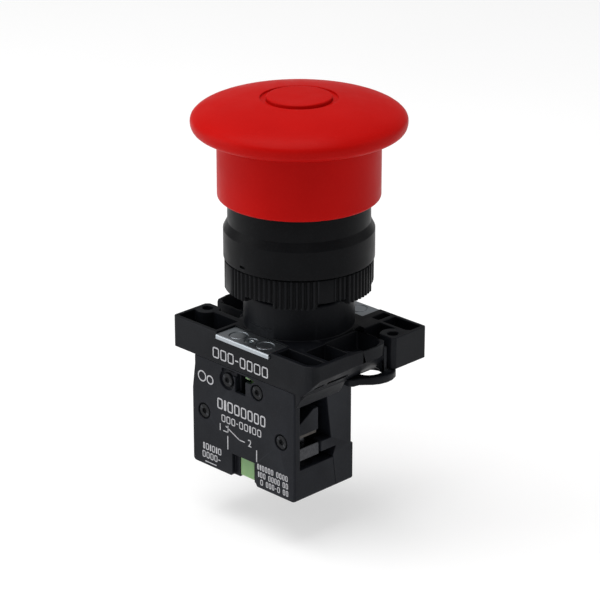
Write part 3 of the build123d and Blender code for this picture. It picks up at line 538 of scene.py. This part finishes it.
rows = []
placed = False
for r, z in outer:
    if not placed and abs(r - 14.15) < 1e-3 and z < 1.2:
        for zz in reversed(NOTCH_Z):
            rows.append(notch_row(zz, zz in NOTCH_Z[1:3]))
        placed = True
    rows.append((r, z))
if not placed:
    print("notch rows were not placed")
rows += [thread(-0.08 * k) for k in range(1, 78)]
rows += [(10.6, -6.24), (9.15, -6.25), (9.0, -6.4), (9.0, -17.1), (8.7, -17.4), (6.75, -17.4), (6.6, -17.25),
         (6.6, 4.9), (6.5, 5.0), (4.66, 5.0), (4.56, 5.1), (4.56, 7.9), (4.66, 8.0), (6.35, 8.0), (6.35, 6.8), (6.95, 6.8), (6.95, 8.0),
         (11.6, 8.0), (11.7, 8.1)]
cols = even(288, [NOTCH_A0, NOTCH_A0 - 0.12, NOTCH_A1, NOTCH_A1 + 0.12])
bm = cut_boxes(lathe_bm(rows, cols), [
    ((-1.2, 10.25, -6.22), (1.2, 11.75, -0.02)),
    ((-3.7, -12.0, -19.3), (3.7, 12.0, -14.3)),
    ((6.2, 4.2, -16.85), (10.0, 6.0, -14.95)),
])
bezel = finish_mesh("bezel_moulding", bm, M_COLLAR, "housing", "bezel_body", smooth=38)

# =====================================================================================
# ring nut
# =====================================================================================
RIBS = 84
RP = 360.0 / RIBS
PAD_HALF = 4.0 * RP
PADS = [-48.1 + 60 * k for k in range(6)]
PANELS = [-24.4 + 90 * k for k in range(4)]
PANEL_HALF = 1.5 * RP


def pad_offset(a, centres=PADS):
    return min((((a - c + 180) % 360) - 180 for c in centres), key=abs)


def nut_r(a):
    on = abs(pad_offset(a)) < PAD_HALF
    plain = abs(pad_offset(a, PANELS)) < PANEL_HALF
    crest = 14.12 if on else 13.95
    if plain:
        return crest
    f = (a % RP) / RP
    # flat crest to a quarter, slope, flat root, slope, with softened corners
    pts = ((0.0, 0.0), (0.21, 0.0), (0.28, 0.04), (0.46, 0.31), (0.53, 0.34), (0.72, 0.34), (0.79, 0.31), (0.96, 0.04), (1.0, 0.0))
    for (f0, d0), (f1, d1) in zip(pts, pts[1:]):
        if f0 <= f <= f1:
            return crest - (d0 + (d1 - d0) * (f - f0) / (f1 - f0))
    return crest


def nut_bottom(a):
    return -5.8 if abs(pad_offset(a)) < PAD_HALF else -4.8


def nr(dr, dz, top):
    def at(a):
        z0 = -0.25 if top else nut_bottom(a)
        return (nut_r(a) - dr, z0 + dz)
    return at


def lug(r, dz):
    def at(a):
        return (r, nut_bottom(a) + dz)
    return at


def lug_in(dz):
    def at(a):
        on = abs(pad_offset(a)) < PAD_HALF
        return (11.9, (nut_bottom(a) + dz) if on else -4.8)
    return at


nut_rows = [
    nr(0.16, 0.0, True), nr(0.05, -0.04, True), nr(0.0, -0.15, True), nr(0.0, 0.20, False), nr(0.06, 0.06, False), nr(0.2, 0.0, False),
    lug(12.05, 0.0), lug_in(0.12), (11.9, -4.8), (11.25, -4.8), (11.04, -4.6), (11.04, -0.52), (12.68, -0.52), (12.68, -0.30), (12.75, -0.25),
]
edge_cols = []
for c in PADS:
    for sgn in (-1, 1):
        e = c + sgn * PAD_HALF
        edge_cols += [e - 0.03, e + 0.03]
for c in PANELS:
    for sgn in (-1, 1):
        edge_cols += [c + sgn * PANEL_HALF - 0.03, c + sgn * PANEL_HALF + 0.03]
rib_cols = []
for i in range(RIBS):
    for f in (0.0, 0.105, 0.21, 0.28, 0.46, 0.53, 0.72, 0.79, 0.96):
        rib_cols.append(i * RP + f * RP)
cols = sorted(set(round(a % 360.0, 4) for a in rib_cols + edge_cols))
bm = lathe_bm(nut_rows, cols)
nut = finish_mesh("ring_nut_moulding", bm, M_COLLAR, "ring_nut", "ring_nut", smooth=32)

# =====================================================================================
# base, latch, contact block: the CAD shapes with rounded edges
# =====================================================================================
dressed("mounting_base", "base_moulding", M_BLACK, "housing", width=0.16)
dressed("release_latch", "latch_moulding", M_BLACK, "latch", width=0.28, segs=3, angle=40)
dressed("block_case", "block_case_moulding", M_CASE, "housing", width=0.12)
dressed("block_cover", "block_cover_moulding", M_CASE, "housing", width=0.12)
dressed("cover_pins", "cover_pin_heads", M_PIN, "housing", width=0.12, segs=3)
dressed("contact_plunger", "plunger_moulding", M_GREEN, "plunger", width=0.14)
for side in ("front", "rear"):
    dressed("clamp_plate_" + side, "clamp_plate_%s_pressing" % side, M_ZINC, "housing", width=0.05, segs=2)
dressed("clamp_screws", "clamp_screw_ends", M_SCREW, "housing", width=0.12, segs=3)
for side in ("left", "right"):
    dressed("terminal_clamp_" + side, "terminal_clamp_%s_pressing" % side, M_TERMINAL_SHADED, "housing", width=0.08, segs=3)
    dressed("terminal_screw_" + side, "terminal_screw_%s_turned" % side, M_TERMINAL_SHADED, "terminal_screw_" + side, width=0.08, segs=3)
    dressed("fixed_contact_" + side, "fixed_contact_%s_strip" % side, M_TINNED_SHADED, "housing", width=0.06)
dressed("contact_bridge", "contact_bridge_strip", M_COPPER, "bridge", width=0.08)
dressed("actuator_stem", "stem_moulding", M_BLACK, "actuator", width=0.10)
dressed("head_screw", "head_screw_turned", M_SCREW, "actuator", width=0.08)

for node, mat in (("stem_clip", M_SPRING), ("lip_seal", M_RUBBER), ("detent_spring", M_SPRING), ("panel_gasket", M_RUBBER),
                  ("keyed_washer", M_ZINC)):
    ob = NODES[node]
    for s in ob.material_slots:
        s.material = mat

# =====================================================================================
# springs: coils with closed ends
# =====================================================================================


def coil(name, centre, z0, z1, radius, wire, turns, body, node, dead=0.9, n=40, m=12):
    bm = bmesh.new()
    total = turns + 2 * dead
    steps = int(total * n)
    rings = []
    for i in range(steps + 1):
        t = i / steps * total
        if t < dead:
            z = z0 + wire * (1 + 0.9 * t / dead)
        elif t > total - dead:
            z = z1 - wire * (1 + 0.9 * (total - t) / dead)
        else:
            u = (t - dead) / turns
            z = z0 + wire * 1.9 + (z1 - z0 - wire * 3.8) * u
        a = 2 * math.pi * t
        c = Vector((centre[0] + radius * math.cos(a), centre[1] + radius * math.sin(a), z))
        rad = Vector((math.cos(a), math.sin(a), 0))
        ring = []
        for k in range(m):
            q = 2 * math.pi * k / m
            ring.append(bm.verts.new((c + rad * (wire * math.cos(q)) + Vector((0, 0, wire * math.sin(q)))) * MM))
        rings.append(ring)
    for a, b in zip(rings, rings[1:]):
        for k in range(m):
            bm.faces.new((a[k], a[(k + 1) % m], b[(k + 1) % m], b[k]))
    bm.faces.new(rings[0][::-1])
    bm.faces.new(rings[-1])
    ob = finish_mesh(name, bm, M_SPRING, body, node, smooth=50)
    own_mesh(ob)
    return ob


coil("head_spring_coil", (0, 0), 8.0, 24.98, 8.0, 0.45, 5.4, "housing", "head_spring")
coil("plunger_spring_coil", (0.25, -9.2), -40.6, -34.52, 1.3, 0.2, 4.6, "housing", "plunger_spring")
coil("bridge_spring_coil", (0.0, -9.3), -33.38, -28.98, 0.85, 0.17, 4.2, "plunger", "bridge_spring")

# =====================================================================================
# printed marks on the block's front: generic symbols and terminal numbers only
# =====================================================================================
FACE_Y = -14.95
INK_T = 0.02
ink_bm = bmesh.new()


def prism(poly, y0=FACE_Y + 0.005, y1=FACE_Y - INK_T, target=None):
    t = target or ink_bm
    a = [t.verts.new((x * MM, y0 * MM, z * MM)) for x, z in poly]
    b = [t.verts.new((x * MM, y1 * MM, z * MM)) for x, z in poly]
    t.faces.new(a)
    t.faces.new(b[::-1])
    n = len(poly)
    for i in range(n):
        t.faces.new((a[i], b[i], b[(i + 1) % n], a[(i + 1) % n]))


def bar(x0, z0, x1, z1, w):
    d = Vector((x1 - x0, z1 - z0)).normalized()
    nrm = Vector((-d.y, d.x)) * w / 2
    pts = []
    for cx, cz, s in ((x1, z1, 1), (x0, z0, -1)):
        for k in range(7):
            a = math.pi / 2 - math.pi * k / 6
            v = (d * math.cos(a) + Vector((-d.y, d.x)) * math.sin(a)) * s * w / 2
            pts.append((cx + v.x, cz + v.y))
    prism(pts)


def ring(cx, cz, r, w, n=40):
    t = ink_bm
    loops = []
    for y in (FACE_Y + 0.005, FACE_Y - INK_T):
        for rr in (r + w / 2, r - w / 2):
            loops.append([t.verts.new(((cx + rr * math.cos(2 * math.pi * k / n)) * MM, y * MM, (cz + rr * math.sin(2 * math.pi * k / n)) * MM)) for k in range(n)])
    o0, i0, o1, i1 = loops
    for k in range(n):
        j = (k + 1) % n
        for p, q in ((o0, o1), (i1, i0), (i0, o0), (o1, i1)):
            t.faces.new((p[k], p[j], q[j], q[k]))


def frame_box(x0, z0, x1, z1, w, r=0.5):
    pts_o, pts_i = [], []
    for cx, cz, a0 in ((x1 - r, z1 - r, 0), (x0 + r, z1 - r, 90), (x0 + r, z0 + r, 180), (x1 - r, z0 + r, 270)):
        for k in range(5):
            a = math.radians(a0 + 90 * k / 4)
            pts_o.append((cx + (r + w / 2) * math.cos(a), cz + (r + w / 2) * math.sin(a)))
            pts_i.append((cx + (r - w / 2) * math.cos(a), cz + (r - w / 2) * math.sin(a)))
    t = ink_bm
    loops = []
    for y in (FACE_Y + 0.005, FACE_Y - INK_T):
        for pts in (pts_o, pts_i):
            loops.append([t.verts.new((x * MM, y * MM, z * MM)) for x, z in pts])
    o0, i0, o1, i1 = loops
    n = len(pts_o)
    for k in range(n):
        j = (k + 1) % n
        for p, q in ((o0, o1), (i1, i0), (i0, o0), (o1, i1)):
            t.faces.new((p[k], p[j], q[j], q[k]))


def cells(x0, z0, widths, height, gap, w):
    """A row of blank character cells; a negative width is a dash, 0 a space."""
    x = x0
    for c in widths:
        if c > 0:
            frame_box(x + w / 2, z0 + w / 2, x + c - w / 2, z0 + height - w / 2, w, min(0.28, c * 0.22))
            x += c + gap
        elif c < 0:
            bar(x + w / 2, z0 + height * 0.48, x - c - w / 2, z0 + height * 0.48, w)
            x += -c + gap
        else:
            x += gap * 3


# row on the base, and two rings below its left end
cells(-7.9, -18.75, (1.7, 1.6, 1.6, -0.9, 1.5, 1.5, 1.7, 1.6), 2.15, 0.38, 0.26)
ring(-10.95, -23.55, 1.0, 0.26)
ring(-8.75, -23.75, 0.8, 0.26)
# two rows under the window
cells(-6.8, -28.85, (1.45, 0.6, 1.45, 1.45, 1.45, 1.35, 1.3, 1.35), 2.2, 0.36, 0.28)
cells(-5.7, -31.25, (1.05, 1.05, 1.0, -0.5, 1.05, 1.05, 0.5, 1.05, 1.05), 1.5, 0.30, 0.20)
# contact symbol between the terminal numbers
bar(-5.2, -33.05, -3.95, -33.05, 0.20)
bar(-3.95, -33.05, -3.95, -31.75, 0.20)
bar(-4.5, -31.95, -0.9, -33.6, 0.20)
bar(-0.9, -33.6, 0.5, -33.6, 0.20)
bar(-4.05, -33.9, -4.05, -36.5, 0.24)
bar(3.75, -34.3, 3.75, -36.5, 0.24)
# short rows in the two lower corners
cells(-10.9, -38.55, (0.5, 0.85, 0.4, 0.8, 0.4, 0.85), 1.35, 0.24, 0.19)
cells(-11.1, -40.3, (0.85, 0.85, 0.85, 0.85, -0.6), 1.35, 0.24, 0.19)
bar(-10.3, -41.05, -7.3, -41.05, 0.18)
cells(3.9, -38.0, (0.5, 0.35, 0.6, 0.6, 0.6, 0.6, 0, 0.6, 0.6, 0.6, 0.6), 1.15, 0.2, 0.17)
cells(4.1, -39.5, (0.35, 0.6, 0.6, 0, 0.6, 0.6, 0.6, 0.6, 0, 0.6, 0.6), 1.15, 0.2, 0.17)
cells(4.7, -41.0, (0.7, 0, 0.6, 0.6, 0.6, -0.4, 0.7, 0, 0.6, 0.6), 1.15, 0.2, 0.17)
finish_mesh("printed_marks", ink_bm, M_INK, "housing", smooth=30)


def number(text, x, z, size, name):
    cu = bpy.data.curves.new(name, "FONT")
    cu.body = text
    cu.size = size * MM
    cu.align_x = "CENTER"
    cu.align_y = "CENTER"
    cu.extrude = INK_T * 0.5 * MM
    cu.resolution_u = 8
    tmp = bpy.data.objects.new(name + "_tmp", cu)
    COLL.objects.link(tmp)
    bpy.context.view_layer.update()
    me = bpy.data.meshes.new_from_object(tmp)
    bpy.data.objects.remove(tmp)
    bpy.data.curves.remove(cu)
    me.transform(Matrix.Translation(Vector((x, FACE_Y - INK_T * 0.4, z)) * MM) @ Matrix.Rotation(math.radians(90), 4, "X"))
    me.name = name
    return place(name, me, M_INK, "housing", smooth=30)


number("1", -6.1, -32.6, 2.1, "terminal_number_1")
number("2", 1.9, -33.5, 2.1, "terminal_number_2")

# =====================================================================================
# studio
# =====================================================================================
FLOOR_Z = -0.052


def floor_material():
    k = Mat("studio_floor")
    base = k.ramp(k.noise(6.0, 2.0, 0.5), [(0.3, (0.53, 0.53, 0.53)), (0.7, (0.56, 0.56, 0.56))])
    k.color(base)
    k.set(Roughness=0.9, Specular_IOR_Level=0.1, Emission_Strength=0.50)
    k.b.inputs["Emission Color"].default_value = (1, 1, 1, 1)
    return k.m


me = bpy.data.meshes.new("studio_floor")
bm = bmesh.new()
bmesh.ops.create_grid(bm, x_segments=2, y_segments=2, size=4.0)
bm.to_mesh(me)
bm.free()
floor = bpy.data.objects.new("studio_floor", me)
COLL.objects.link(floor)
floor.location = (0, 0, FLOOR_Z)
me.materials.append(floor_material())

world = bpy.data.worlds.new("studio_world")
SC.world = world
world.use_nodes = True
world.node_tree.nodes["Background"].inputs["Color"].default_value = (1.0, 1.0, 1.0, 1.0)
world.node_tree.nodes["Background"].inputs["Strength"].default_value = 0.27

RIGHT = Vector((math.cos(math.radians(AZ)), math.sin(math.radians(AZ)), 0.0))
TO_CAM = Vector((math.sin(math.radians(AZ)), -math.cos(math.radians(AZ)), 0.0))


def area(name, right, front, up, size, energy, aim=(0, 0, -0.005), size_y=None):
    li = bpy.data.lights.new(name, "AREA")
    li.energy = energy
    li.size = size
    if size_y:
        li.shape = "RECTANGLE"
        li.size_y = size_y
    ob = bpy.data.objects.new(name, li)
    COLL.objects.link(ob)
    ob.location = RIGHT * right + TO_CAM * front + Vector((0, 0, up))
    ob.rotation_euler = (Vector(aim) - ob.location).to_track_quat("-Z", "Y").to_euler()
    return ob


area("key_top", -0.12, 0.04, 0.62, 0.60, 4.1)
area("side_left", -0.55, 0.02, 0.14, 0.40, 1.35, size_y=0.55)
area("side_right", 0.55, 0.00, 0.14, 0.40, 0.5, size_y=0.55)
area("front_high", 0.05, 0.72, 0.46, 0.30, 0.17)
